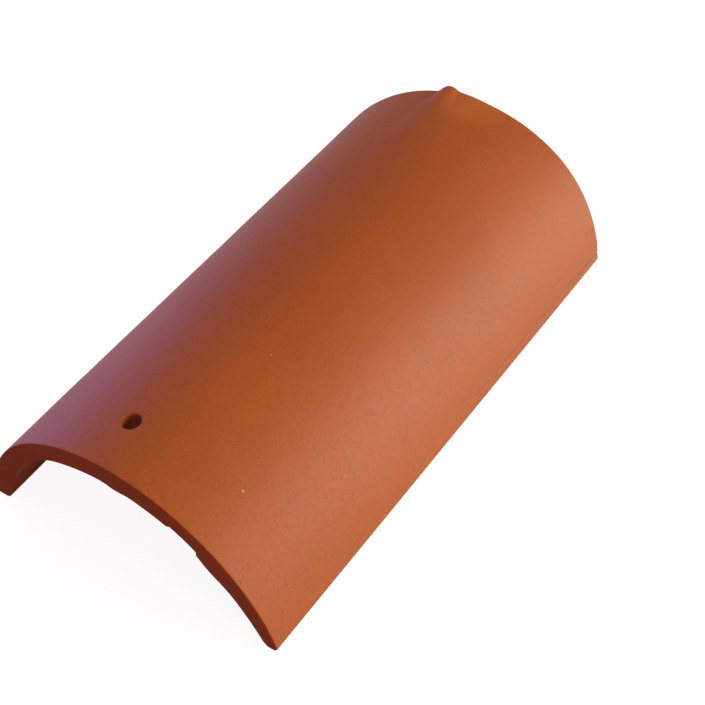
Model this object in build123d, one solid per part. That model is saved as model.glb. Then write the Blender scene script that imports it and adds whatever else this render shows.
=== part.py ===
"""A clay ridge tile: a tapered half-round cap that covers the ridge of a tiled roof.

It is one fired piece, an arched wall that widens from one end to the other, so that the wide
end laps over the narrow end of the next tile. The origin lies on the floor under the middle of
the tile. +Y runs from the narrow end to the wide end, and +Z points up out of the crown.
"""
from build123d import *
from build123d.topology import SkipClean
import math
import os

# The arch: its length, its wall, which thins towards the feet, and the size and form of the narrow end
length = 400
wall = 12
foot_wall = 10
narrow_width = 202
narrow_height = 83
crown_half_angle = 43
foot_lean_angle = 15

# The gap all round between the wide end and the narrow end that it laps over
lap_clearance = 10

# The feet: a rounded outer edge, a flat land, and an arris along the inner edge
foot_round = 2
foot_arris = 2

# The worn outer edge of both ends
rim_round = 0.9

# The nail hole through the crown, beside the crown line and near the narrow end
nail_hole_diameter = 10
nail_hole_rim_round = 1.2
nail_hole_from_end = 30.5
nail_hole_left_of_crown = 4.7

# The nose pinched up on the wide rim: a round tip with flared sides, which runs out along the crown
nose_height = 5.4
nose_width = 23
nose_tip_radius = 10.5
nose_run = 32
nose_left_of_crown = 11.5

# The shell-shaped chip off the inner edge of the narrow end, to the right of the crown
chip_depth = 2.5
chip_curve_radius = 34
chip_angle = 32

# How far a cutting shape reaches past what it cuts
overrun = 5


def towards(turn):
    """Unit vector across the tile, in a direction given in degrees from +X."""
    return Vector(math.cos(math.radians(turn)), math.sin(math.radians(turn)))


def turn_of(direction):
    """Direction of a vector across the tile, in degrees from +X."""
    return math.degrees(math.atan2(direction.Y, direction.X))


def across_at(centre, radius, height):
    """How far out an arc of a flank lies at a height above the floor."""
    return centre.X + math.sqrt(radius**2 - (height - centre.Y) ** 2)


# Up from the floor, and from the right foot to the left one
upright = turn_of(Vector(0, 1))
half_turn = turn_of(Vector(-1, 0))

narrow_end = -length / 2
wide_end = length / 2
lap_spread = wall + lap_clearance

# The crown and the flanks of the narrow end are tangent arcs. Their radii follow from how far
# each arc carries the wall outward and downward, between the crown line and the round of the foot.
shoulder = towards(upright - crown_half_angle)
foot_side = towards(foot_lean_angle)
half_span = narrow_width / 2 - foot_round
rise = narrow_height - 2 * foot_round
arc_mix = shoulder.X * (shoulder.Y - foot_side.Y) - (1 - shoulder.Y) * (foot_side.X - shoulder.X)
crown_span = (half_span * (shoulder.Y - foot_side.Y) - rise * (foot_side.X - shoulder.X)) / arc_mix
flank_span = (rise * shoulder.X - half_span * (1 - shoulder.Y)) / arc_mix
crown_radius = crown_span + foot_round
flank_radius = flank_span + foot_round
crown_centre = Vector(0, narrow_height - crown_radius)
flank_centre = crown_centre + shoulder * (crown_radius - flank_radius)

# The inner flank is tangent to the inner crown, and meets the arris at the thickness of the foot
inner_shoulder = crown_centre + shoulder * (crown_radius - wall)
inner_foot = Vector(across_at(flank_centre, flank_radius - foot_wall, foot_arris), foot_arris)
inner_chord = inner_shoulder - inner_foot
inner_flank_radius = inner_chord.length**2 / (2 * inner_chord.dot(shoulder))
inner_flank_centre = inner_shoulder - shoulder * inner_flank_radius

# The nose stands on the wide crown. Each flare is tangent to the crown and to the tip.
wide_crown_radius = crown_radius + lap_spread
nose_turn = upright + math.degrees(math.asin(nose_left_of_crown / wide_crown_radius))
nose_half_turn = math.degrees(nose_width / 2 / wide_crown_radius)
flare_side = towards(upright - nose_half_turn)
tip_centre = Vector(0, wide_crown_radius + nose_height - nose_tip_radius)
tip_drop = wide_crown_radius - tip_centre.dot(flare_side)
flare_gap = (flare_side * wide_crown_radius - tip_centre).length
flare_radius = (flare_gap**2 - nose_tip_radius**2) / (2 * (nose_tip_radius - tip_drop))
tip_side = (flare_side * (wide_crown_radius + flare_radius) - tip_centre).normalized()
tip_spread = upright - turn_of(tip_side)
tip_half_turn = upright - turn_of(tip_centre + tip_side * nose_tip_radius)


def arc(centre, radius, start, stop):
    """Arc about a centre from one direction to another, in degrees from +X."""
    return CenterArc(centre, radius, start, stop - start)


def plain_crown(radius):
    """The crown without a nose, parted where the arcs of the nose begin and end."""
    turns = [upright - crown_half_angle, nose_turn - nose_half_turn, nose_turn - tip_half_turn]
    turns += [nose_turn + tip_half_turn, nose_turn + nose_half_turn, upright + crown_half_angle]
    return [arc(crown_centre, radius, start, stop) for start, stop in zip(turns, turns[1:])]


def nosed_crown(radius):
    """The crown with the nose on it: a convex tip between two hollow flares."""
    tip_reach = radius + nose_height - nose_tip_radius
    tip = crown_centre + towards(nose_turn) * tip_reach
    arcs = [arc(tip, nose_tip_radius, nose_turn - tip_spread, nose_turn + tip_spread)]
    for side in (-1, 1):
        foot_turn = nose_turn + side * nose_half_turn
        tip_turn = nose_turn + side * tip_spread
        flare = crown_centre + towards(foot_turn) * (radius + flare_radius)
        arcs.append(arc(flare, flare_radius, foot_turn + half_turn, tip_turn + half_turn))
        arcs.append(arc(crown_centre, radius, foot_turn, upright + side * crown_half_angle))
    return arcs


def outline(y, with_nose=False):
    """Outline of the wall at a place along the tile, on an upright plane across it.

    Every arc keeps its centre and grows evenly from the narrow end to the wide end,
    so the wall is as thick all along the tile and each face is part of a cone.
    """
    spread = lap_spread * (y - narrow_end) / length
    outer_radius = flank_radius + spread
    inner_radius = inner_flank_radius + spread
    round_centre = Vector(across_at(flank_centre, outer_radius - foot_round, foot_round), foot_round)
    arris_top = Vector(across_at(inner_flank_centre, inner_radius, foot_arris), foot_arris)
    arris_foot = Vector(across_at(inner_flank_centre, inner_radius, 0) + foot_arris, 0)
    crown_turn = upright - crown_half_angle
    foot_turn = turn_of(round_centre - flank_centre)
    right_side = [
        arc(flank_centre, outer_radius, crown_turn, foot_turn),
        arc(round_centre, foot_round, foot_turn, -upright),
        Line((round_centre.X, 0), arris_foot),
        Line(arris_foot, arris_top),
        arc(inner_flank_centre, inner_radius, turn_of(arris_top - inner_flank_centre), crown_turn),
    ]
    left_side = [mirror(edge, about=Plane.YZ) for edge in right_side]
    under_crown = arc(crown_centre, crown_radius + spread - wall, crown_turn, half_turn - crown_turn)
    crown = nosed_crown if with_nose else plain_crown
    face = make_face([*crown(crown_radius + spread), under_crown, *right_side, *left_side])
    return Plane(origin=(0, y, 0), x_dir=(1, 0, 0), z_dir=(0, -1, 0)) * face


def arch():
    """The tapered wall: straight rulings along the tile, with the nose rising to the wide rim."""
    sections = [outline(narrow_end), outline(wide_end - nose_run), outline(wide_end, with_nose=True)]
    return loft(sections, ruled=True, clean=False)


def flat_footed(tile):
    """The tile with the land of each foot made a true plane, where it stands on the floor."""
    faces = []
    for face in tile.faces():
        is_land = face.bounding_box().max.Z < foot_arris / 2
        faces.append(Face(face.outer_wire()) if is_land else face)
    return Solid(Shell(faces))


def rounded_rims(tile):
    """The tile with worn ends. A round runs on over the flanks and under the feet to the arris."""
    for end in (0, -1):
        crown_edge = tile.faces().sort_by(Axis.Y)[end].edges().sort_by(Axis.Z)[-1]
        tile = fillet(crown_edge, rim_round)
    return tile


def pierced(tile):
    """The tile with its nail hole: a straight bore square to the crown, its outer rim rounded."""
    y = narrow_end + nail_hole_from_end
    slope = lap_spread / length
    radius = crown_radius + nail_hole_from_end * slope
    side = towards(upright + math.degrees(math.asin(nail_hole_left_of_crown / radius)))
    mouth = crown_centre + side * radius
    frame = Plane(origin=(mouth.X, y, mouth.Y), z_dir=(side.X, -slope, side.Y))
    bore = frame * Cylinder(nail_hole_diameter / 2, 2 * (wall + overrun))
    drilled = tile - bore
    rims = new_edges(tile, bore, combined=drilled)
    outer_rim = [edge for edge in rims if frame.to_local_coords(edge.center()).Z > -wall / 2]
    return fillet(outer_rim, nail_hole_rim_round)


def chip():
    """Ball that leaves a shell-shaped scar of the chip's depth on the end face and on the inner face."""
    set_back = (math.sqrt(2 * chip_curve_radius**2 - chip_depth**2) - chip_depth) / 2
    centre = crown_centre + towards(upright - chip_angle) * (crown_radius - wall - set_back)
    return Pos(centre.X, narrow_end - set_back, centre.Y) * Sphere(chip_curve_radius)


# The strips of the crown stay parted along the tile, as they are where the nose runs out
with SkipClean():
    tile = pierced(rounded_rims(flat_footed(arch()))) - chip()
tile.label = "ridge_tile"
os.makedirs("parts", exist_ok=True)
export_step(tile, "parts/ridge_tile.step")
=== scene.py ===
"""The looks of a clay ridge tile, worked out round its solid.

The tile is one surface: a section of a crown arc, two flank arcs and two feet, carried along the
tile while every arc grows about its own centre. Lengths are in millimetres until a mesh is made.
Those of the floor and the lamps are in metres.
"""
import math
from functools import reduce

import bmesh
import bpy
import numpy as np
from mathutils import Matrix, Vector


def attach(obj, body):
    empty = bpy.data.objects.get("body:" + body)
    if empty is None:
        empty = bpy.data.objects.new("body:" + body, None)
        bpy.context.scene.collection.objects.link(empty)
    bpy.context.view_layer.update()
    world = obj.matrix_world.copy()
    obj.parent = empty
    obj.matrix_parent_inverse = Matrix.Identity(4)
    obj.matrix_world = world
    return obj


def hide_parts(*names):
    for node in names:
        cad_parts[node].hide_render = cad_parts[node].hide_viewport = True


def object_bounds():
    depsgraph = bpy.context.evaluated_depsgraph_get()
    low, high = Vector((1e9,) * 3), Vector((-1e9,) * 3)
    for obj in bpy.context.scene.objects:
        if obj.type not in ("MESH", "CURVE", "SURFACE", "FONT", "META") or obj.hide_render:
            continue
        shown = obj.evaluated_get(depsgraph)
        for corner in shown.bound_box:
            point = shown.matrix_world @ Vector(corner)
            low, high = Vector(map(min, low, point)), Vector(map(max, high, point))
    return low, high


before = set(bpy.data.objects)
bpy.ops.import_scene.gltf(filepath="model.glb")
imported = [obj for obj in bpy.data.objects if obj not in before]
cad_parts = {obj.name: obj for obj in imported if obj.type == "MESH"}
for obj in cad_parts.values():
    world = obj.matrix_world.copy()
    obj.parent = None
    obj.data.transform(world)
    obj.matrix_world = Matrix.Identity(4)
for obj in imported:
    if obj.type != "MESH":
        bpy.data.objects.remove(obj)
cad_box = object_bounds()

MM = 0.001
SLOT = "fired_clay"
TILE = "ridge_tile"

# The arch, in the sizes of the solid
length = (cad_box[1].y - cad_box[0].y) / MM
wall = 12
foot_wall = 10
narrow_width = 202
narrow_height = 83
crown_half_turn = math.radians(43)
foot_lean = math.radians(15)
lap_clearance = 10
foot_round = 2
foot_arris = 2
rim_round = 0.9

# The nail hole
nail_hole_radius = 5
nail_hole_rim_round = 1.2
nail_hole_from_end = 30.5
nail_hole_left_of_crown = 4.7

# How far the slip of the skin runs over the rounded edge of an end
slip_edge = 0.14

# In the nail hole, as parts of the way along its rings: where the slip starts to fade, how long it
# takes to fade out, and where the paler clay of the inner side begins
hole_slip_start = 0.3
hole_slip_fade = 1 / 3
hole_inner_clay = 0.5

# The nose on the wide rim, with the power of its climb along the crown
nose_height = 3.5
nose_width = 23
nose_tip_radius = 10.5
nose_run = 32
nose_left_of_crown = 12.3
nose_ease = 1.6

# The low ridge that the pinch drew up behind the nose, which is lower and narrower at the rim
ridge_height = 2.5
ridge_rim_height = 2.0
ridge_left_of_crown = 9.6
ridge_left_reach = 22
ridge_rim_left_reach = 13
ridge_right_reach = 36
ridge_run = 115
ridge_climb = 75

# The chip off the inner edge of the narrow end: a flat scar between two steep ends. Beyond them its
# surface stands clear of the clay.
chip_depth = 1.8
chip_turn = math.radians(32.8)
chip_half_width = 10.3
chip_end_width = 3.4
chip_set_back = 20
chip_clear = 3

# Swellings and hollows of the wall's inner side near the narrow end: turn from the crown line and
# reach in degrees, and height. They fade out along the tile.
swellings = (
    (5.5, 4.5, 1.6),
    (16, 6, 0.6),
    (45.5, 5.5, 2.1),
    (-28, 11, -1.3),
    (74, 11, -2.2),
    (-74, 16, 2.0),
)
swelling_run = 90

# The bulge of the right shoulder towards the wide end: its height, its turn and reach in degrees,
# its run along the tile, and the part of the flank over which it fades out above the foot
bulge_height = 1.9
bulge_turn = 50
bulge_reach = 20
bulge_run = 220
bulge_foot_fade = 0.2

# The drag line above the right foot, where the skin was torn as the tile left its mould. Where it
# starts and where it ends, it lies at these parts across the tile.
drag_depth = 0.6
drag_width = 1.6
drag_start_y = -10
drag_start_part = 1.903
drag_end_part = 1.942

# Marks on the skin: turn from the crown line in degrees, place along the tile, reach and, for the
# dark ones, strength
dark_marks = (
    (62.6, -178.3, 1.7, 0.35),
    (63.3, 179.3, 1.5, 0.45),
    (51.8, -197.9, 1.4, 0.40),
    (73.2, 11.5, 1.6, 0.50),
    (72.4, 14.0, 1.3, 0.45),
    (73.4, 49.1, 1.2, 0.30),
)
light_marks = ((36.0, -164.9, 1.1), (15.3, -92.3, 0.8))
light_mark_share = 0.45

# Dark lines on the skin: turn and place along the tile of both ends, reach and strength. The first
# is a scratch, and the other three are painted shade along the drag line above the right foot.
dark_lines = (
    ((-10.1, -184.8), (-6.7, -187.4), 0.7, 0.20),
    ((75.3, 199.3), (75.3, 166.0), 1.4, 0.55),
    ((75.3, 166.0), (74.4, 85.0), 1.3, 0.20),
    ((74.4, 85.0), (73.2, 12.0), 1.2, 0.15),
)

# A painted sheen, a paler patch beside the nose: turn and place along the tile, reach and strength
painted_sheen_place = (4, 190)
painted_sheen_reach = 34
painted_sheen_share = 0.35

# The part of a mark's reach over which it has its full strength
mark_core = 0.35

# Unevenness of the skin: lengths of the waves, how many waves there are to each length and how far
# they stray from it, how deep they go, and the height above the floor over which they fade out
wave_lengths = (170, 90, 45, 20)
wave_depths = (0.16, 0.10, 0.05, 0.025)
wave_strays = (0.75, 1.3)
waves_of_each = 7
wave_seed = 11
wave_fade_height = 9

# How finely the surface is worked out: columns from the crown line to the inner edge of a foot,
# rows along the tile and through its ends, and rings round the nail hole
nose_part = 0.27
nose_columns = 24
crown_columns = 34
flank_columns = 30
flank_foot_part = 1.85
flank_foot_columns = 18
round_columns = 6
land_columns = 3
skin_rows = 186
end_closeness = 0.5
rim_rows = 4
end_rows = 11
hole_block = 8.6
closing_rings = 5
round_rings = 5
bore_rings = 6
opening_rings = 3

# Points that lie closer together are joined, and edges with a greater turn stay sharp
weld_gap = 0.001
sharp_turn = math.radians(38)

narrow_end = -length / 2
wide_end = length / 2
lap_spread = wall + lap_clearance

# Radii and centres of the crown and the flanks at the narrow end
shoulder = Vector((math.sin(crown_half_turn), math.cos(crown_half_turn)))
foot_side = Vector((math.cos(foot_lean), math.sin(foot_lean)))
half_span = narrow_width / 2 - foot_round
rise = narrow_height - 2 * foot_round
arc_mix = shoulder.x * (shoulder.y - foot_side.y) - (1 - shoulder.y) * (foot_side.x - shoulder.x)
crown_span = (half_span * (shoulder.y - foot_side.y) - rise * (foot_side.x - shoulder.x)) / arc_mix
flank_span = (rise * shoulder.x - half_span * (1 - shoulder.y)) / arc_mix
crown_radius = crown_span + foot_round
flank_radius = flank_span + foot_round
crown_z = narrow_height - crown_radius
flank_x = shoulder.x * (crown_radius - flank_radius)
flank_z = crown_z + shoulder.y * (crown_radius - flank_radius)

# The inner flank: tangent to the inner crown, and as far in at the arris as the foot is thick
inner_shoulder = Vector((0, crown_z)) + shoulder * (crown_radius - wall)
inner_foot_x = flank_x + math.sqrt((flank_radius - foot_wall) ** 2 - (foot_arris - flank_z) ** 2)
inner_chord = inner_shoulder - Vector((inner_foot_x, foot_arris))
inner_flank_radius = inner_chord.length_squared / (2 * inner_chord.dot(shoulder))
inner_flank_x, inner_flank_z = inner_shoulder - shoulder * inner_flank_radius

# The nose's arcs on the wide crown: a round tip between two hollow flares
wide_crown_radius = crown_radius + lap_spread
nose_turn = -math.asin(nose_left_of_crown / wide_crown_radius)
nose_half_turn = nose_width / 2 / wide_crown_radius
tip_reach = wide_crown_radius + nose_height - nose_tip_radius
tip_drop = wide_crown_radius - tip_reach * math.cos(nose_half_turn)
flare_gap_squared = (tip_reach * math.sin(nose_half_turn)) ** 2 + tip_drop**2
flare_radius = (flare_gap_squared - nose_tip_radius**2) / (2 * (nose_tip_radius - tip_drop))
flare_reach = wide_crown_radius + flare_radius
tip_to_flare = Vector((
    flare_reach * math.sin(nose_half_turn),
    flare_reach * math.cos(nose_half_turn) - tip_reach,
))
tip_end = tip_to_flare.normalized() * nose_tip_radius
tip_half_turn = math.atan2(tip_end.x, tip_reach + tip_end.y)


def eased(value):
    """A smooth step from 0 at 0 to 1 at 1."""
    value = np.clip(value, 0, 1)
    return value * value * (3 - 2 * value)


def bell(off):
    """A bell curve: 1 at 0, and less and less on both sides."""
    return np.exp(-(off**2))


def spread_at(y):
    """How much every radius has grown at a place along the tile: evenly from the narrow end."""
    return lap_spread * (y - narrow_end) / length


def towards_rim(y, run):
    """How far along a run to the wide rim a place lies: 0 before the run, and 1 at the rim."""
    return np.clip((y - wide_end + run) / run, 0, 1)


def nose_rise(turn):
    """Height of the nose above the wide crown, at a turn from the middle of the nose.

    A ray from the crown's centre meets the tip's circle on its far side, and a flare's circle on
    its near side. Beyond the flares the crown is plain.
    """
    off = np.abs(turn)
    tip_aside = tip_reach * np.sin(off)
    on_tip = tip_reach * np.cos(off) + np.sqrt(np.maximum(nose_tip_radius**2 - tip_aside**2, 0))
    flare_aside = flare_reach * np.sin(nose_half_turn - off)
    on_flare = flare_reach * np.cos(nose_half_turn - off)
    on_flare = on_flare - np.sqrt(np.maximum(flare_radius**2 - flare_aside**2, 0))
    reach = np.where(off < tip_half_turn, on_tip, on_flare)
    return np.where(off < nose_half_turn, reach - wide_crown_radius, 0)


def nose_ridge(turn, y):
    """Height of the low ridge behind the nose.

    It climbs out of the crown towards the wide rim, and falls off as a smooth step on either side
    of its crest. To the left it is steeper, and at the rim steepest and lower, where the nose
    stands on it.
    """
    aside = wide_crown_radius * turn + ridge_left_of_crown
    rim_share = eased(towards_rim(y, nose_run))
    left_reach = ridge_left_reach + rim_share * (ridge_rim_left_reach - ridge_left_reach)
    reach = np.where(aside < 0, left_reach, ridge_right_reach)
    crest = ridge_height + rim_share * (ridge_rim_height - ridge_height)
    climbed = eased((y - wide_end + ridge_run) / ridge_climb)
    return crest * climbed * (1 - eased(np.abs(aside) / reach))


def swelling(turn, y):
    """How much thicker the wall is on its inner side: a few bells that fade along the tile."""
    total = 0 * turn
    for middle, reach, height in swellings:
        total = total + height * bell((np.degrees(turn) - middle) / reach)
    return total * bell((y - narrow_end) / swelling_run)


def bulge(turn, part, y):
    """How far the right shoulder stands out: a bell that grows towards the wide end.

    It fades out above the round of the foot.
    """
    across = bell((np.degrees(turn) - bulge_turn) / bulge_reach)
    growth = eased(towards_rim(y, bulge_run))
    return bulge_height * growth * across * eased((2 - part) / bulge_foot_fade)


def drag_line(across, y):
    """Depth of the drag line: a bell-shaped groove that deepens and nears the foot on its way."""
    along = towards_rim(y, wide_end - drag_start_y)
    middle = drag_start_part + (drag_end_part - drag_start_part) * along
    flank_length = flank_radius * (math.pi / 2 - foot_lean - crown_half_turn)
    aside = (across - middle) * flank_length / (drag_width / 2)
    return drag_depth * np.sqrt(along) * bell(aside)


def wall_points(across, y, depth):
    """Points of the wall, at a place across the tile, along it, and through the wall.

    Across runs from the inner edge of the left foot, at -4, over the crown line, at 0, to that of
    the right foot, at 4. On the outer skin the whole numbers part the crown arc, the flank arc, the
    round of the foot and its land. On the inner skin they part the crown arc, the flank arc and the
    arris. Every arc keeps its centre, and its radius grows evenly along the tile. A point within
    the wall lies on the straight line between the two skins.
    """
    side = np.sign(across)
    part = np.abs(across)
    spread = spread_at(y)
    outer_radius = flank_radius + spread
    inner_radius = inner_flank_radius + spread
    round_reach = np.sqrt((outer_radius - foot_round) ** 2 - (foot_round - flank_z) ** 2)
    round_turn = np.arctan2(round_reach, foot_round - flank_z)
    arris_reach = np.sqrt(inner_radius**2 - (foot_arris - inner_flank_z) ** 2)
    arris_turn = np.arctan2(arris_reach, foot_arris - inner_flank_z)

    # How far each arc has turned at this part
    crown_turn = part * crown_half_turn
    outer_turn = crown_half_turn + (part - 1) * (round_turn - crown_half_turn)
    inner_turn = crown_half_turn + (part - 1) * (arris_turn - crown_half_turn)
    foot_turn = round_turn + (part - 2) * (math.pi - round_turn)

    # The radii of the crown and the flanks, with all that stands out from them or sinks in
    nose = towards_rim(y, nose_run) ** nose_ease * nose_rise(side * crown_turn - nose_turn)
    crown_bulge = bulge(side * crown_turn, part, y)
    flank_bulge = bulge(side * outer_turn, part, y)
    crown_out = crown_radius + spread + nose + crown_bulge + nose_ridge(side * crown_turn, y)
    crown_in = crown_radius + spread + crown_bulge - wall - swelling(side * crown_turn, y)
    flank_out = outer_radius + flank_bulge - drag_line(across, y)
    flank_in = inner_radius + flank_bulge - swelling(side * inner_turn, y)

    # The edges of the foot. A swelling of the wall there shifts the arris and the land with it.
    foot_swelling = swelling(side * arris_turn, y)
    round_x = flank_x + round_reach
    arris_x = inner_flank_x + (inner_radius - foot_swelling) * np.sin(arris_turn)
    arris_z = inner_flank_z + (inner_radius - foot_swelling) * np.cos(arris_turn)
    floor_reach = np.sqrt(inner_radius**2 - inner_flank_z**2)
    land_x = inner_flank_x + floor_reach + foot_arris - foot_swelling

    parts = [part <= 1, part <= 2, part <= 3]
    outer_x = np.select(parts, [
        crown_out * np.sin(crown_turn),
        flank_x + flank_out * np.sin(outer_turn),
        round_x + foot_round * np.sin(foot_turn),
    ], round_x + (part - 3) * (land_x - round_x))
    outer_z = np.select(parts, [
        crown_z + crown_out * np.cos(crown_turn),
        flank_z + flank_out * np.cos(outer_turn),
        foot_round + foot_round * np.cos(foot_turn),
    ], 0)
    down_arris = (part - 2) / 2
    inner_x = np.select(parts[:2], [
        crown_in * np.sin(crown_turn),
        inner_flank_x + flank_in * np.sin(inner_turn),
    ], arris_x + down_arris * (land_x - arris_x))
    inner_z = np.select(parts[:2], [
        crown_z + crown_in * np.cos(crown_turn),
        inner_flank_z + flank_in * np.cos(inner_turn),
    ], (1 - down_arris) * arris_z)
    share = depth / wall
    x = side * (outer_x + share * (inner_x - outer_x))
    z = outer_z + share * (inner_z - outer_z)
    return np.stack([x, y + 0 * x, z], -1)


def across_stations():
    """Places across the tile, closer together at the nose and the feet, with their tight curves."""
    half = np.concatenate([
        np.linspace(0, nose_part, nose_columns, endpoint=False),
        np.linspace(nose_part, 1, crown_columns, endpoint=False),
        np.linspace(1, flank_foot_part, flank_columns, endpoint=False),
        np.linspace(flank_foot_part, 2, flank_foot_columns, endpoint=False),
        np.linspace(2, 3, round_columns, endpoint=False),
        np.linspace(3, 4, land_columns + 1),
    ])
    return np.concatenate([-half[:0:-1], half])


def wall_stations():
    """Places round the wall's long section: along the outer skin, down the wide end and back.

    The outer edge of each end is a quarter round, so the rows there share one circle. The rows lie
    closer together towards the ends.
    """
    turn = np.linspace(0, math.pi / 2, rim_rows + 1)
    inward = rim_round * (1 - np.sin(turn))
    drop = rim_round * (1 - np.cos(turn))
    even = np.linspace(0, 1, skin_rows)
    even = even - end_closeness * np.sin(2 * math.pi * even) / (2 * math.pi)
    skin = narrow_end + rim_round + (length - 2 * rim_round) * even
    outer_y = np.concatenate([narrow_end + inward[:0:-1], skin, wide_end - inward[1:]])
    outer_depth = np.concatenate([drop[:0:-1], 0 * skin, drop[1:]])
    through = np.linspace(rim_round, wall, end_rows + 1)[1:-1]
    y = np.concatenate([outer_y, wide_end + 0 * through, outer_y[::-1], narrow_end + 0 * through])
    depth = np.concatenate([outer_depth, through, wall + 0 * outer_y, through[::-1]])
    return y, depth


def grid_faces(index):
    """Four-sided faces between neighbouring rows and columns of a grid of point numbers."""
    return np.stack([index[:-1, :-1], index[:-1, 1:], index[1:, 1:], index[1:, :-1]], -1)


def block_edge(rows, columns):
    """Row and column numbers round the edge of a block of a grid, corner by corner."""
    (top, bottom), (left, right) = rows, columns
    step = 1 if bottom > top else -1
    down = np.arange(top, bottom, step)
    level = np.arange(left, right)
    row = np.concatenate([0 * level + top, down, 0 * level + bottom, down[::-1] + step])
    column = np.concatenate([level, 0 * down + right, level[::-1] + 1, 0 * down + left])
    return row, column


def wide_row(y):
    """Number of the first row that lies on the wide end."""
    return int(np.argmax(y >= wide_end))


def inner_twin(y, depth, rows):
    """Rows of the inner skin at the same places along the tile as some rows of the outer skin."""
    inner = np.flatnonzero(depth >= wall)
    return inner[[int(np.abs(y[inner] - y[row]).argmin()) for row in rows]]


def nail_hole(outer_edge, inner_edge):
    """The nail hole, as rings of points from an edge on the outer skin to one on the inner skin.

    In the hole's own frame the rings close in from the outer edge to a circle, turn down round a
    quarter circle, follow the bore and open out again to the inner edge. Both skins are taken as
    cylinders about the crown's centre line, and what is left over fades out towards the hole.
    """
    slope = lap_spread / length
    radius = crown_radius + nail_hole_from_end * slope
    turn = -math.asin(nail_hole_left_of_crown / radius)
    y = narrow_end + nail_hole_from_end
    middle = np.array([radius * math.sin(turn), y, crown_z + radius * math.cos(turn)])
    outward = np.array(Vector((math.sin(turn), -slope, math.cos(turn))).normalized())
    along = np.array(Vector((slope * math.sin(turn), 1, slope * math.cos(turn))).normalized())
    aside = np.cross(along, outward)
    axes = np.stack([aside, along, outward])

    def skin_height(off, depth):
        return np.sqrt((radius - depth) ** 2 - off**2) - radius

    def raised(flat, height):
        return np.concatenate([flat, height[..., None]], -1)

    outer = (outer_edge - middle) @ axes.T
    inner = (inner_edge - middle) @ axes.T
    bearing = np.arctan2(outer[:, 1], outer[:, 0])
    circle = np.stack([np.cos(bearing), np.sin(bearing)], -1)
    mouth = (nail_hole_radius + nail_hole_rim_round) * circle
    bore = nail_hole_radius * circle

    closing = np.linspace(0, 1, closing_rings + 1)[:, None, None]
    flat = outer[:, :2] + closing * (mouth - outer[:, :2])
    left_over = outer[:, 2] - skin_height(outer[:, 0], 0)
    height = skin_height(flat[..., 0], 0) + (1 - closing[..., 0]) * left_over
    rings = [raised(flat, height)]

    turning = np.linspace(0, math.pi / 2, round_rings + 1)[1:, None]
    flat = (nail_hole_radius + nail_hole_rim_round * (1 - np.sin(turning)))[..., None] * circle
    height = skin_height(flat[..., 0], 0) - nail_hole_rim_round * (1 - np.cos(turning))
    rings.append(raised(flat, height))

    sinking = np.linspace(0, 1, bore_rings + 1)[1:, None]
    top = skin_height(bore[:, 0], 0) - nail_hole_rim_round
    height = top + sinking * (skin_height(bore[:, 0], wall) - top)
    rings.append(raised(bore + 0 * height[..., None], height))

    opening = np.linspace(0, 1, opening_rings + 1)[1:, None, None]
    foot = rings[-1][-1]
    rings.append(foot + opening * (inner - foot))
    return middle + np.concatenate(rings) @ axes


def tile_surface():
    """Points, faces, share of slip and painted foot shade, and inner side of the whole tile.

    The wall's grid closes round its long section, and a block of it on each skin makes room for the
    nail hole. The slip fades out over the edges of the ends, and over the rounds of the feet as
    painted shade, where the darker bare body shows.
    """
    across = across_stations()
    y, depth = wall_stations()
    points = wall_points(across[None, :], y[:, None], depth[:, None])
    index = np.arange(points[..., 0].size).reshape(points.shape[:2])
    # Over the round of each foot the slip fades, so the darker bare body there is painted shade
    slip_and_foot_shade = np.clip(1 - depth / slip_edge, 0, 1)[:, None] * np.clip(3 - np.abs(across), 0, 1)
    inside = ((depth >= wall) & (np.abs(y) < wide_end))[:, None] & (np.abs(across) <= 2)

    hole_y = narrow_end + nail_hole_from_end
    hole_across = -math.asin(nail_hole_left_of_crown / crown_radius) / crown_half_turn
    reach = hole_block / crown_radius / crown_half_turn
    columns = np.searchsorted(across, [hole_across - reach, hole_across + reach])
    first_row = depth.argmin()
    skin_y = y[first_row:wide_row(y)]
    outer_rows = first_row + np.searchsorted(skin_y, [hole_y - hole_block, hole_y + hole_block])
    inner_rows = inner_twin(y, depth, outer_rows)
    rings = nail_hole(
        points[block_edge(outer_rows, columns)],
        points[block_edge(inner_rows, columns)],
    )
    ring_index = index.size + np.arange(rings[..., 0].size).reshape(rings.shape[:2])
    through = np.linspace(0, 1, len(rings))[:, None] + 0 * rings[..., 0]
    ring_slip = np.clip(1 - (through - hole_slip_start) / hole_slip_fade, 0, 1)
    ring_inside = through > hole_inner_clay

    faces = grid_faces(np.concatenate([index, index[:1]]))
    kept = np.ones(faces.shape[:2], bool)
    kept[outer_rows[0]:outer_rows[1], columns[0]:columns[1]] = False
    kept[inner_rows[1]:inner_rows[0], columns[0]:columns[1]] = False
    ring_faces = grid_faces(np.concatenate([ring_index, ring_index[:, :1]], 1))
    all_points = np.concatenate([points.reshape(-1, 3), rings.reshape(-1, 3)])
    all_faces = np.concatenate([faces[kept], ring_faces.reshape(-1, 4)])
    all_slip_and_foot_shade = np.concatenate([slip_and_foot_shade.ravel(), ring_slip.ravel()])
    all_inside = np.concatenate([inside.ravel(), ring_inside.ravel()])
    return all_points, all_faces, all_slip_and_foot_shade, all_inside


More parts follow.
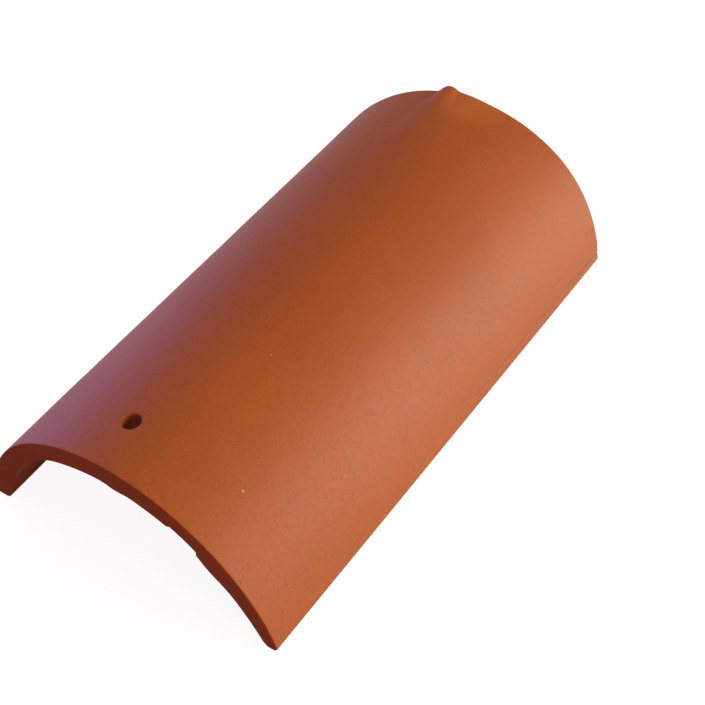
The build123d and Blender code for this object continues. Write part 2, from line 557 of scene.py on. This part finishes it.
def chipped(points):
    """Points of the chip moved out on to its scar.

    Across the edge the scar is a round about a line that runs along the inner edge, set back from
    it. Along the edge its depth is even, and at both ends it steps out of the clay.
    """
    radius = np.hypot(points[:, 0], points[:, 2] - crown_z)
    turn = np.arctan2(points[:, 0], points[:, 2] - crown_z)
    edge = crown_radius - wall
    aside = np.abs(turn - chip_turn) * edge
    open_share = 1 - eased((aside - chip_half_width) / chip_end_width + 0.5)
    depth = (chip_depth + chip_clear) * open_share - chip_clear
    out = np.stack([points[:, 1] - narrow_end, radius - edge], -1) + chip_set_back
    gap = np.linalg.norm(out, axis=1)
    scar = np.hypot(chip_set_back, chip_set_back + depth)
    on_scar = (gap < scar) & (aside < chip_half_width + chip_end_width)
    growth = np.where(on_scar, scar / np.maximum(gap, 1), 1)
    moved = out * growth[:, None] - chip_set_back
    new_radius = edge + moved[:, 1]
    new_points = np.stack([
        new_radius * np.sin(turn),
        narrow_end + moved[:, 0],
        crown_z + new_radius * np.cos(turn),
    ], -1)
    return np.where(on_scar[:, None], new_points, points)


def waviness(points):
    """Depth of the skin's unevenness: cosines of seeded directions, lengths and phases, added up.

    It fades out towards the floor, so the land of each foot stays flat.
    """
    draw = np.random.default_rng(wave_seed)
    total = np.zeros(len(points))
    for wave_length, wave_depth in zip(wave_lengths, wave_depths):
        direction = draw.normal(size=(waves_of_each, 3))
        direction /= np.linalg.norm(direction, axis=1, keepdims=True)
        stray = draw.uniform(*wave_strays, waves_of_each)
        phase = draw.uniform(0, 2 * math.pi, waves_of_each)
        pace = direction * (2 * math.pi * stray / wave_length)[:, None]
        waves = np.cos(points @ pace.T + phase)
        total += wave_depth * np.tanh(waves.sum(1) / math.sqrt(waves_of_each))
    return total * eased(points[:, 2] / wave_fade_height)


def weld(mesh, gap):
    """Join the points of a mesh that lie closer than a gap, and turn its faces to one side."""
    work = bmesh.new()
    work.from_mesh(mesh)
    bmesh.ops.remove_doubles(work, verts=work.verts, dist=gap)
    bmesh.ops.recalc_face_normals(work, faces=work.faces)
    work.to_mesh(mesh)
    work.free()


def make_tile():
    """The tile: its surface welded shut, chipped, made uneven and kept in the solid's box."""
    points, faces, slip_and_foot_shade, inside = tile_surface()
    mesh = bpy.data.meshes.new("tile_surface")
    mesh.from_pydata((points * MM).tolist(), [], faces.tolist())
    for name, values in (("slip_and_foot_shade", slip_and_foot_shade), ("inside", inside)):
        attribute = mesh.attributes.new(name, "FLOAT", "POINT")
        attribute.data.foreach_set("value", values.astype(np.float32))
    weld(mesh, weld_gap * MM)
    placed = np.empty(len(mesh.vertices) * 3, np.float32)
    outward = np.empty(len(mesh.vertices) * 3, np.float32)
    mesh.vertices.foreach_get("co", placed)
    mesh.vertex_normals.foreach_get("vector", outward)
    placed = chipped(placed.reshape(-1, 3).astype(float) / MM)
    placed = (placed - outward.reshape(-1, 3) * waviness(placed)[:, None]) * MM
    placed = np.clip(placed, cad_box[0], cad_box[1])
    mesh.vertices.foreach_set("co", placed.astype(np.float32).ravel())
    mesh.shade_smooth()
    mesh.set_sharp_from_angle(angle=sharp_turn)
    mesh.update()
    tile = bpy.data.objects.new("tile_surface", mesh)
    bpy.context.scene.collection.objects.link(tile)
    return tile


class Value:
    """A node's output. Sums, products and the like of such values add Math nodes."""

    def __init__(self, shade, socket):
        self.shade = shade
        self.socket = socket

    def maths(self, operation, *values):
        return self.shade.add("ShaderNodeMath", {"operation": operation}, dict(enumerate(values)))

    def __add__(self, other):
        return self.maths("ADD", self, other)

    def __sub__(self, other):
        return self.maths("SUBTRACT", self, other)

    def __rsub__(self, other):
        return self.maths("SUBTRACT", other, self)

    def __mul__(self, other):
        return self.maths("MULTIPLY", self, other)

    def smallest(self, other):
        return self.maths("MINIMUM", self, other)

    def largest(self, other):
        return self.maths("MAXIMUM", self, other)

    __radd__ = __add__
    __rmul__ = __mul__


class Shade:
    """A material being made. add() makes any node from its type, its settings and its inputs."""

    def __init__(self, name):
        self.material = bpy.data.materials.new(name)
        self.material.use_nodes = True
        self.tree = self.material.node_tree
        self.tree.nodes.clear()

    def add(self, kind, settings=None, inputs=None, output=0):
        node = self.tree.nodes.new(kind)
        for name, value in (settings or {}).items():
            setattr(node, name, value)
        for name, value in (inputs or {}).items():
            if isinstance(value, Value):
                self.tree.links.new(value.socket, node.inputs[name])
            else:
                node.inputs[name].default_value = value
        return Value(self, node.outputs[output]) if node.outputs else None

    def noise(self, place, scale, detail, roughness):
        inputs = {"Vector": place, "Scale": scale, "Detail": detail, "Roughness": roughness}
        return self.add("ShaderNodeTexNoise", {"noise_dimensions": "3D"}, inputs)

    def attribute(self, name):
        """A value that the mesh holds at each of its points."""
        return self.add("ShaderNodeAttribute", {"attribute_name": name}, output="Fac")

    def ramp(self, value, low, high):
        """A smooth step from 0 at low to 1 at high."""
        inputs = {"Value": value, "From Min": low, "From Max": high}
        return self.add("ShaderNodeMapRange", {"interpolation_type": "SMOOTHSTEP"}, inputs)

    def mix(self, share, first, second):
        """A colour between two colours."""
        inputs = {0: share, 6: first, 7: second}
        return self.add("ShaderNodeMix", {"data_type": "RGBA"}, inputs, 2)

    def vectors(self, operation, first, second, output=0):
        inputs = {0: first, 1: second}
        return self.add("ShaderNodeVectorMath", {"operation": operation}, inputs, output)

    def near(self, gap, reach):
        """1 in the core of a mark, and 0 from its reach on."""
        return 1 - self.ramp(gap, mark_core * reach, reach)

    def spot(self, place, middle, reach):
        """1 in the middle of a round spot, and 0 from its reach on."""
        return self.near(self.vectors("DISTANCE", place, middle, "Value"), reach)

    def streak(self, place, start, end, reach):
        """1 on a straight line between two places, and 0 from its reach on."""
        run = end - start
        off = self.vectors("SUBTRACT", place, start)
        along = self.vectors("DOT_PRODUCT", off, run / run.length_squared, "Value")
        along = along.largest(0).smallest(1)
        nearest = self.add("ShaderNodeVectorMath", {"operation": "SCALE"}, {0: run, "Scale": along})
        return self.near(self.vectors("DISTANCE", off, nearest, "Value"), reach)

    def surface(self, base, roughness, shine, height, bump, bump_depth):
        """A clay surface of a colour, a roughness and a shine, with a bump from a height."""
        inputs = {"Strength": bump, "Distance": bump_depth * MM, "Height": height}
        normal = self.add("ShaderNodeBump", None, inputs)
        return self.add("ShaderNodeBsdfPrincipled", None, {
            "Base Color": base,
            "Roughness": roughness,
            "Normal": normal,
            "Specular IOR Level": shine,
        })


def colour(red, green, blue):
    return (red, green, blue, 1)


def grey(level):
    return colour(level, level, level)


def skin_place(turn, y):
    """Place on the outer skin at a turn in degrees from the crown line, in metres."""
    off = math.radians(abs(turn))
    x, z, radius = flank_x, flank_z, flank_radius + spread_at(y)
    if off <= crown_half_turn:
        x, z, radius = 0, crown_z, crown_radius + spread_at(y)
    x = math.copysign(x + radius * math.sin(off), turn)
    return Vector((x, y, z + radius * math.cos(off))) * MM


# The noises in the clay: how fine they are, to the metre, how many finer levels they have, and how
# strong these are
cloud_noise = (11, 3, 0.5)
patch_noise = (70, 3, 0.55)
grain_noise = (420, 2, 0.6)
sand_noise = (1300, 1, 0.5)
noise_middle = 0.5

# How the noises tint the clay: the values between which each sets in, and its share
cloud_share = 0.6
tone_ends = (0.36, 0.64)
dark_grain_ends = (0.50, 0.72)
dark_grain_share = 0.30
light_sand_ends = (0.56, 0.76)
light_sand_share = 0.26

# How much each adds to the height of the fine relief
grain_relief = 0.6
sand_relief = 0.4
patch_relief = 0.5
dark_place_relief = -2

# The slip: its darker and paler tones, what lies on it, a painted sheen among that, and its finish
slip_tones = (colour(0.345, 0.061, 0.0028), colour(0.375, 0.068, 0.0046))
slip_dark_grain = colour(0.220, 0.038, 0.003)
slip_light_sand = colour(0.500, 0.150, 0.040)
painted_sheen_colour = colour(0.600, 0.140, 0.020)
# The colour of the dark marks, and of the painted shade along the right foot
pit_and_shade_colour = colour(0.090, 0.018, 0.006)
light_mark_colour = colour(0.65, 0.38, 0.22)
slip_roughness = 0.62
slip_patch_roughness = 0.10
slip_grain_roughness = 0.12
slip_shine = 0.48
slip_bump = 0.25
slip_bump_depth = 0.4

# The bare body: its tones on the ends, its paler ones on the inner side, and its finish
body_tones = (colour(0.235, 0.028, 0.0060), colour(0.275, 0.034, 0.0080))
inner_tones = (colour(0.350, 0.070, 0.022), colour(0.400, 0.080, 0.026))
body_dark_grain = colour(0.150, 0.020, 0.006)
body_light_sand = colour(0.420, 0.120, 0.050)
body_roughness = 0.86
body_patch_roughness = 0.08
body_shine = 0.15
body_bump = 0.4
body_bump_depth = 0.5


def dark_places(shade, place):
    """Strength of the dark marks and lines, some of them painted shade: the largest at each place.
    """
    marks = []
    for turn, y, reach, strength in dark_marks:
        marks.append(strength * shade.spot(place, skin_place(turn, y), reach * MM))
    for start, end, reach, strength in dark_lines:
        line = shade.streak(place, skin_place(*start), skin_place(*end), reach * MM)
        marks.append(strength * line)
    return reduce(Value.largest, marks)


def fired_clay():
    """Fired clay: a satin slip on the outer skin, and the bare body inside and on the ends."""
    shade = Shade(SLOT)
    place = shade.add("ShaderNodeTexCoord", output="Object")
    cloud = shade.noise(place, *cloud_noise)
    patch = shade.noise(place, *patch_noise)
    grain = shade.noise(place, *grain_noise)
    sand = shade.noise(place, *sand_noise)
    tone = shade.ramp(cloud_share * cloud + (1 - cloud_share) * patch, *tone_ends)
    dark_grain = dark_grain_share * shade.ramp(grain, *dark_grain_ends)
    light_sand = light_sand_share * shade.ramp(sand, *light_sand_ends)
    relief = grain_relief * grain + sand_relief * sand
    pits_and_painted_shade = dark_places(shade, place)

    skin = shade.mix(tone, *slip_tones)
    skin = shade.mix(dark_grain, skin, slip_dark_grain)
    skin = shade.mix(light_sand, skin, slip_light_sand)
    # A painted sheen: a paler patch of slip beside the nose
    painted_sheen = shade.spot(place, skin_place(*painted_sheen_place), painted_sheen_reach * MM)
    skin = shade.mix(painted_sheen_share * painted_sheen, skin, painted_sheen_colour)
    # Dark marks, and painted shade along the right foot
    skin = shade.mix(pits_and_painted_shade, skin, pit_and_shade_colour)
    for turn, y, reach in light_marks:
        speck = shade.spot(place, skin_place(turn, y), reach * MM)
        skin = shade.mix(light_mark_share * speck, skin, light_mark_colour)
    uneven = slip_patch_roughness * (patch - noise_middle)
    uneven = uneven + slip_grain_roughness * (grain - noise_middle)
    height = relief + dark_place_relief * pits_and_painted_shade
    coated = shade.surface(
        skin, slip_roughness + uneven, slip_shine, height, slip_bump, slip_bump_depth
    )

    body = shade.mix(tone, *body_tones)
    body = shade.mix(shade.attribute("inside"), body, shade.mix(tone, *inner_tones))
    body = shade.mix(dark_grain, body, body_dark_grain)
    body = shade.mix(light_sand, body, body_light_sand)
    uneven = body_patch_roughness * (patch - noise_middle)
    height = relief + patch_relief * patch
    bare = shade.surface(
        body, body_roughness + uneven, body_shine, height, body_bump, body_bump_depth
    )
    # Where the slip fades over the feet, the bare body is painted shade
    clay = shade.add("ShaderNodeMixShader", None, {0: shade.attribute("slip_and_foot_shade"), 1: bare, 2: coated})
    shade.add("ShaderNodeOutputMaterial", None, {"Surface": clay})
    return shade.material


# The floor: its flat radius, the radius of the bend at its edge and the height of its wall
floor_radius = 2.4
floor_bend = 0.8
floor_height = 2.0
bend_rows = 12
floor_columns = 96

# How pale the floor is to the light, how bright it is to the camera, how much of the shadow it
# keeps there, and the share of that brightness in reflections
floor_matt = 0.84
floor_white = 0.92
floor_faint = 0.18
floor_reflected = 0.5


def pale_floor():
    """A pale matt floor: white to the camera, half so in reflections, with some shadow kept."""
    shade = Shade("pale_floor")
    seen = shade.add("ShaderNodeLightPath", output="Is Camera Ray")
    seen = seen + floor_reflected * shade.add("ShaderNodeLightPath", output="Is Glossy Ray")
    matt = shade.add("ShaderNodeBsdfDiffuse", None, {"Color": grey(floor_matt)})
    white = shade.add("ShaderNodeEmission", None, {"Color": grey(1), "Strength": floor_white})
    faint = shade.add("ShaderNodeBsdfDiffuse", None, {"Color": grey(floor_faint)})
    bright = shade.add("ShaderNodeAddShader", None, {0: white, 1: faint})
    mixed = shade.add("ShaderNodeMixShader", None, {0: seen.smallest(1), 1: matt, 2: bright})
    shade.add("ShaderNodeOutputMaterial", None, {"Surface": mixed})
    return shade.material


def make_floor():
    """A round floor that turns up into a low wall: a line of radius and height carried round."""
    turn = np.linspace(0, math.pi / 2, bend_rows + 1)
    radius = floor_radius + floor_bend * np.sin(turn)
    radius = np.concatenate([[0.0], radius, [floor_radius + floor_bend]])
    height = np.concatenate([[0.0], floor_bend * (1 - np.cos(turn)), [floor_height]])
    bearing = np.linspace(0, 2 * math.pi, floor_columns + 1)
    x = radius[:, None] * np.cos(bearing)
    y = radius[:, None] * np.sin(bearing)
    points = np.stack([x, y, height[:, None] + 0 * x], -1)
    faces = grid_faces(np.arange(x.size).reshape(x.shape))
    mesh = bpy.data.meshes.new("floor")
    mesh.from_pydata(points.reshape(-1, 3).tolist(), [], faces.reshape(-1, 4).tolist())
    weld(mesh, MM)
    mesh.shade_smooth()
    floor = bpy.data.objects.new("floor", mesh)
    floor.data.materials.append(pale_floor())
    bpy.context.scene.collection.objects.link(floor)


# The lamps: place, tint and power in watts. All are soft squares of one size that face the tile.
lamps = {
    "right_low": ((1.75, 0.9, 0.35), (0.80, 1.0, 0.85), 54),
    "right": ((1.9, -0.1, 0.6), (1.0, 0.5, 0.5), 7),
    "right_front": ((1.2, -1.3, 0.9), (1.0, 0.5, 0.5), 4),
    "overhead": ((0.0, 0.1, 2.0), (1.0, 0.8, 0.3), 15.5),
    "left": ((-1.9, 0.15, 0.36), (0.28, 0.31, 1.0), 29),
}
lamp_size = 1.4
lamp_aim = Vector((0, 0, 0.05))
backdrop_strength = 0.06


def make_lamp(name, place, tint, power):
    """A soft square lamp that faces the tile."""
    lamp = bpy.data.lights.new(name, "AREA")
    lamp.size = lamp_size
    lamp.color = tint
    lamp.energy = power
    holder = bpy.data.objects.new(name, lamp)
    holder.location = place
    aim = lamp_aim - Vector(place)
    holder.rotation_euler = aim.to_track_quat("-Z", "Y").to_euler()
    holder.visible_camera = False
    bpy.context.scene.collection.objects.link(holder)


def light_scene():
    """Soft studio light: a bright lamp low on the right, warm ones round it, a cool one left."""
    for name, (place, tint, power) in lamps.items():
        make_lamp(name, place, tint, power)
    world = bpy.data.worlds.new("studio")
    bpy.context.scene.world = world
    world.use_nodes = True
    backdrop = world.node_tree.nodes["Background"]
    backdrop.inputs["Color"].default_value = grey(1)
    backdrop.inputs["Strength"].default_value = backdrop_strength


# The camera: how far it turns from +Y and looks down, its tilt, where it stands and its lens
view_turn = math.radians(31.477)
view_drop = math.radians(42.559)
view_tilt = math.radians(0.147)
view_place = Vector((258.41, -383.1, 424.91)) * MM
view_lens = 46.637


def make_camera():
    """A camera at the photograph's angle, its axes worked out from its turn, drop and tilt."""
    forward = Vector((
        -math.sin(view_turn) * math.cos(view_drop),
        math.cos(view_turn) * math.cos(view_drop),
        -math.sin(view_drop),
    ))
    level = forward.cross(Vector((0, 0, 1))).normalized()
    below = forward.cross(level)
    right = level * math.cos(view_tilt) + below * math.sin(view_tilt)
    up = level * math.sin(view_tilt) - below * math.cos(view_tilt)
    axes = Matrix((right, up, -forward)).transposed().to_4x4()
    camera = bpy.data.objects.new("camera", bpy.data.cameras.new("camera"))
    camera.data.lens = view_lens
    camera.matrix_world = Matrix.Translation(view_place) @ axes
    bpy.context.scene.collection.objects.link(camera)
    bpy.context.scene.camera = camera


tile = make_tile()
tile.data.materials.append(fired_clay())
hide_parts(TILE)
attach(tile, "root")
make_floor()
light_scene()
make_camera()
bpy.context.scene.view_settings.view_transform = "Standard"
